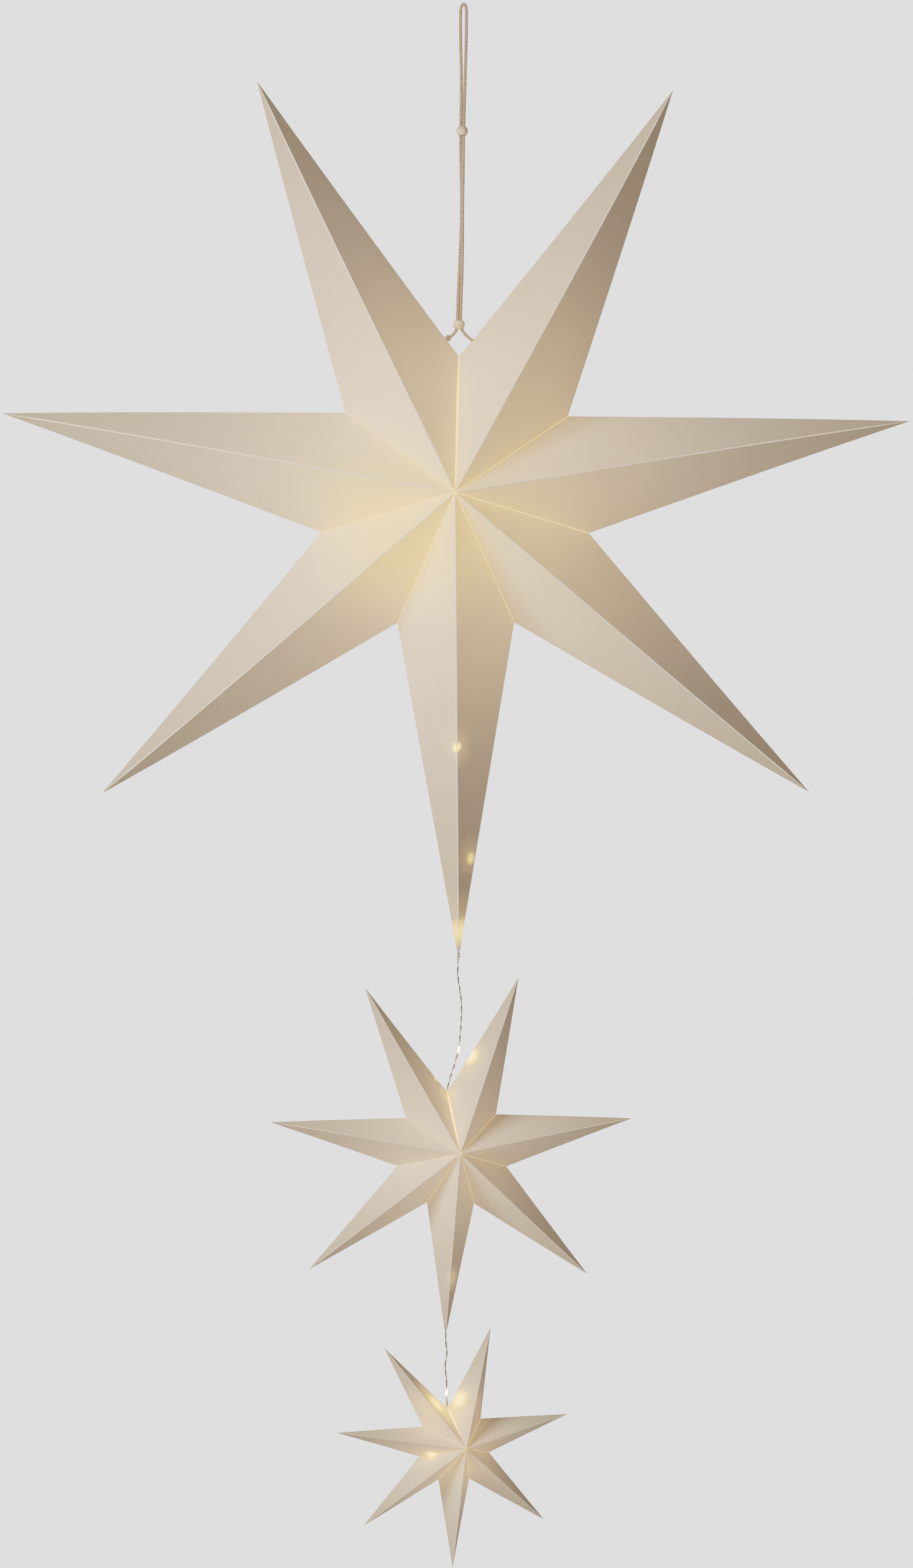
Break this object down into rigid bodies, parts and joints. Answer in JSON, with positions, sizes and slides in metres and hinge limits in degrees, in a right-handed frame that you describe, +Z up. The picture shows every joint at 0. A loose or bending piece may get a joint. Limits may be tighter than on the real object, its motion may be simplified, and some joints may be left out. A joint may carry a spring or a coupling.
{
  "type": "hanging paper star cascade",
  "caption": "Cascade of folded paper stars in falling sizes, lit from inside by a micro light string and hung from a beaded cord loop.",
  "frame": {"origin": "inside top of the hanging loop, where it rests on its hook", "axes": "+Z up along the hanging cord, -Y towards the viewer, +X to the right seen from the front"},
  "size_m": [0.6496, 0.15, 1.1181],
  "materials": {
    "paper": "uncoated heavy paper, warm white, lit from inside",
    "cord": "braided cotton cord",
    "bead": "unpainted beech, sanded",
    "wire": "lacquered silver coloured micro wire, twisted pair",
    "led_drop": "clear epoxy drop over a warm white LED",
    "sleeve": "clear shrink sleeve",
    "adhesive": "double sided foam dot",
    "case": "moulded off white plastic",
    "switch": "moulded black plastic",
    "cell": "plain printed sleeve over a steel can",
    "contact": "nickel plated spring steel",
    "board": "fibreglass board with green mask"
  },
  "bodies": {
    "cord_loop": {"cord_loop": "cord"},
    "loop_bead": {"loop_bead": "bead"},
    "hanging_cord": {"cord_strand_left": "cord", "cord_strand_right": "cord", "cord_knot": "cord"},
    "tie_bead": {"tie_bead": "bead"},
    "large_star": {"large_point_bottom": "paper", "inner_cord": "cord", "battery_case": "case", "battery_cells": "cell", "contact_springs": "contact", "contact_plates": "contact", "circuit_board": "board", "large_light_wire": "wire", "large_led_drops": "led_drop", "large_tip_sleeve": "sleeve"},
    "battery_lid": {"battery_lid": "case"},
    "switch_knob": {"switch_knob": "switch"},
    "drop_wire_upper": {"drop_wire_upper": "wire", "drop_led_upper": "led_drop"},
    "medium_star": {"medium_point_bottom": "paper", "medium_light_wire": "wire", "medium_led_drops": "led_drop"},
    "drop_wire_lower": {"drop_wire_lower": "wire", "drop_led_lower": "led_drop"},
    "small_star": {"small_point_bottom": "paper", "small_light_wire": "wire", "small_led_drops": "led_drop"},
    "large_lower_right": {"large_point_lower_right": "paper"},
    "large_right": {"large_point_right": "paper"},
    "large_upper_right": {"large_point_upper_right": "paper"},
    "large_upper_left": {"large_point_upper_left": "paper"},
    "large_left": {"large_point_left": "paper"},
    "large_lower_left": {"large_point_lower_left": "paper"},
    "medium_lower_right": {"medium_point_lower_right": "paper"},
    "medium_right": {"medium_point_right": "paper"},
    "medium_upper_right": {"medium_point_upper_right": "paper"},
    "medium_upper_left": {"medium_point_upper_left": "paper", "medium_seam_dot": "adhesive"},
    "medium_left": {"medium_point_left": "paper"},
    "medium_lower_left": {"medium_point_lower_left": "paper"},
    "small_lower_right": {"small_point_lower_right": "paper"},
    "small_right": {"small_point_right": "paper"},
    "small_upper_right": {"small_point_upper_right": "paper"},
    "small_upper_left": {"small_point_upper_left": "paper", "small_seam_dot": "adhesive"},
    "small_left": {"small_point_left": "paper"},
    "small_lower_left": {"small_point_lower_left": "paper"}
  },
  "joints": [
    {"name": "loop_bead_slide", "type": "slide", "parent": "cord_loop", "child": "loop_bead", "axis": [0.0117, 0, 0.9999], "range_m": [-0.1, 0.03], "deforming": ["cord_loop", "cord_strand_left", "cord_strand_right"]},
    {"name": "cord_twist", "type": "hinge", "parent": "cord_loop", "child": "hanging_cord", "pos_m": [-0.0011, 0, -0.0896], "axis": [0, 0, 1], "range_deg": [-180, 180]},
    {"name": "tie_bead_slide", "type": "slide", "parent": "hanging_cord", "child": "tie_bead", "axis": [0.033, 0, 0.9995], "range_m": [0, 0.05], "deforming": ["cord_strand_left", "cord_strand_right"]},
    {"name": "large_star_tilt", "type": "hinge", "parent": "hanging_cord", "child": "large_star", "pos_m": [-0.0034, 0, -0.239], "axis": [1, 0, 0], "range_deg": [-25, 25]},
    {"name": "battery_lid_slide", "type": "slide", "parent": "large_star", "child": "battery_lid", "axis": [0, 0, -1], "range_m": [0, 0.03]},
    {"name": "switch_slide", "type": "slide", "parent": "large_star", "child": "switch_knob", "axis": [0, 0, -1], "range_m": [0, 0.004]},
    {"name": "drop_wire_upper_swing", "type": "hinge", "parent": "large_star", "child": "drop_wire_upper", "pos_m": [-0.0037, 0, -0.6804], "axis": [0, 1, 0], "range_deg": [-20, 20]},
    {"name": "medium_star_turn", "type": "hinge", "parent": "drop_wire_upper", "child": "medium_star", "pos_m": [-0.0119, -0.0006, -0.775], "axis": [0, 0, 1], "range_deg": [-180, 180]},
    {"name": "drop_wire_lower_swing", "type": "hinge", "parent": "medium_star", "child": "drop_wire_lower", "pos_m": [-0.0128, -0.00072, -0.9472], "axis": [0, 1, 0], "range_deg": [-20, 20]},
    {"name": "small_star_turn", "type": "hinge", "parent": "drop_wire_lower", "child": "small_star", "pos_m": [-0.0117, -0.00139, -1.0006], "axis": [0, 0, 1], "range_deg": [-180, 180]},
    {"name": "large_upper_right_fold", "type": "hinge", "parent": "large_star", "child": "large_upper_right", "pos_m": [-0.006, 0, -0.351], "axis": [0, 1, 0], "range_deg": [0, 40], "deforming": ["large_point_upper_right", "large_point_bottom"]},
    {"name": "large_right_fold", "type": "hinge", "parent": "large_star", "child": "large_right", "pos_m": [-0.006, 0, -0.351], "axis": [0, 1, 0], "range_deg": [0, 26.7], "deforming": ["large_point_right"]},
    {"name": "large_lower_right_fold", "type": "hinge", "parent": "large_star", "child": "large_lower_right", "pos_m": [-0.006, 0, -0.351], "axis": [0, 1, 0], "range_deg": [0, 13.4], "deforming": ["large_point_lower_right"]},
    {"name": "large_upper_left_fold", "type": "hinge", "parent": "large_star", "child": "large_upper_left", "pos_m": [-0.006, 0, -0.351], "axis": [0, 1, 0], "range_deg": [-40, 0], "deforming": ["large_point_upper_left"]},
    {"name": "large_left_fold", "type": "hinge", "parent": "large_star", "child": "large_left", "pos_m": [-0.006, 0, -0.351], "axis": [0, 1, 0], "range_deg": [-26.7, 0], "deforming": ["large_point_left"]},
    {"name": "large_lower_left_fold", "type": "hinge", "parent": "large_star", "child": "large_lower_left", "pos_m": [-0.006, 0, -0.351], "axis": [0, 1, 0], "range_deg": [-13.4, 0], "deforming": ["large_point_lower_left"]},
    {"name": "medium_upper_right_fold", "type": "hinge", "parent": "medium_star", "child": "medium_upper_right", "pos_m": [-0.0082, 0, -0.818], "axis": [-0.1564, 0.9877, 0], "range_deg": [0, 40], "deforming": ["medium_point_upper_right", "medium_point_bottom"]},
    {"name": "medium_right_fold", "type": "hinge", "parent": "medium_star", "child": "medium_right", "pos_m": [-0.0082, 0, -0.818], "axis": [-0.1564, 0.9877, 0], "range_deg": [0, 26.7], "deforming": ["medium_point_right"]},
    {"name": "medium_lower_right_fold", "type": "hinge", "parent": "medium_star", "child": "medium_lower_right", "pos_m": [-0.0082, 0, -0.818], "axis": [-0.1564, 0.9877, 0], "range_deg": [0, 13.4], "deforming": ["medium_point_lower_right"]},
    {"name": "medium_upper_left_fold", "type": "hinge", "parent": "medium_star", "child": "medium_upper_left", "pos_m": [-0.0082, 0, -0.818], "axis": [-0.1564, 0.9877, 0], "range_deg": [-40, 0], "deforming": ["medium_point_upper_left"]},
    {"name": "medium_left_fold", "type": "hinge", "parent": "medium_star", "child": "medium_left", "pos_m": [-0.0082, 0, -0.818], "axis": [-0.1564, 0.9877, 0], "range_deg": [-26.7, 0], "deforming": ["medium_point_left"]},
    {"name": "medium_lower_left_fold", "type": "hinge", "parent": "medium_star", "child": "medium_lower_left", "pos_m": [-0.0082, 0, -0.818], "axis": [-0.1564, 0.9877, 0], "range_deg": [-13.4, 0], "deforming": ["medium_point_lower_left"]},
    {"name": "small_upper_right_fold", "type": "hinge", "parent": "small_star", "child": "small_upper_right", "pos_m": [-0.007, 0, -1.028], "axis": [-0.2924, 0.9563, 0], "range_deg": [0, 40], "deforming": ["small_point_upper_right", "small_point_bottom"]},
    {"name": "small_right_fold", "type": "hinge", "parent": "small_star", "child": "small_right", "pos_m": [-0.007, 0, -1.028], "axis": [-0.2924, 0.9563, 0], "range_deg": [0, 26.7], "deforming": ["small_point_right"]},
    {"name": "small_lower_right_fold", "type": "hinge", "parent": "small_star", "child": "small_lower_right", "pos_m": [-0.007, 0, -1.028], "axis": [-0.2924, 0.9563, 0], "range_deg": [0, 13.4], "deforming": ["small_point_lower_right"]},
    {"name": "small_upper_left_fold", "type": "hinge", "parent": "small_star", "child": "small_upper_left", "pos_m": [-0.007, 0, -1.028], "axis": [-0.2924, 0.9563, 0], "range_deg": [-40, 0], "deforming": ["small_point_upper_left"]},
    {"name": "small_left_fold", "type": "hinge", "parent": "small_star", "child": "small_left", "pos_m": [-0.007, 0, -1.028], "axis": [-0.2924, 0.9563, 0], "range_deg": [-26.7, 0], "deforming": ["small_point_left"]},
    {"name": "small_lower_left_fold", "type": "hinge", "parent": "small_star", "child": "small_lower_left", "pos_m": [-0.007, 0, -1.028], "axis": [-0.2924, 0.9563, 0], "range_deg": [-13.4, 0], "deforming": ["small_point_lower_left"]}
  ],
  "couplings": [
    {"joint": "large_right_fold", "follows": "large_upper_right_fold", "ratio": 0.66667},
    {"joint": "large_lower_right_fold", "follows": "large_upper_right_fold", "ratio": 0.33333},
    {"joint": "large_upper_left_fold", "follows": "large_upper_right_fold", "ratio": -1},
    {"joint": "large_left_fold", "follows": "large_upper_right_fold", "ratio": -0.66667},
    {"joint": "large_lower_left_fold", "follows": "large_upper_right_fold", "ratio": -0.33333},
    {"joint": "medium_right_fold", "follows": "medium_upper_right_fold", "ratio": 0.66667},
    {"joint": "medium_lower_right_fold", "follows": "medium_upper_right_fold", "ratio": 0.33333},
    {"joint": "medium_upper_left_fold", "follows": "medium_upper_right_fold", "ratio": -1},
    {"joint": "medium_left_fold", "follows": "medium_upper_right_fold", "ratio": -0.66667},
    {"joint": "medium_lower_left_fold", "follows": "medium_upper_right_fold", "ratio": -0.33333},
    {"joint": "small_right_fold", "follows": "small_upper_right_fold", "ratio": 0.66667},
    {"joint": "small_lower_right_fold", "follows": "small_upper_right_fold", "ratio": 0.33333},
    {"joint": "small_upper_left_fold", "follows": "small_upper_right_fold", "ratio": -1},
    {"joint": "small_left_fold", "follows": "small_upper_right_fold", "ratio": -0.66667},
    {"joint": "small_lower_left_fold", "follows": "small_upper_right_fold", "ratio": -0.33333}
  ]
}
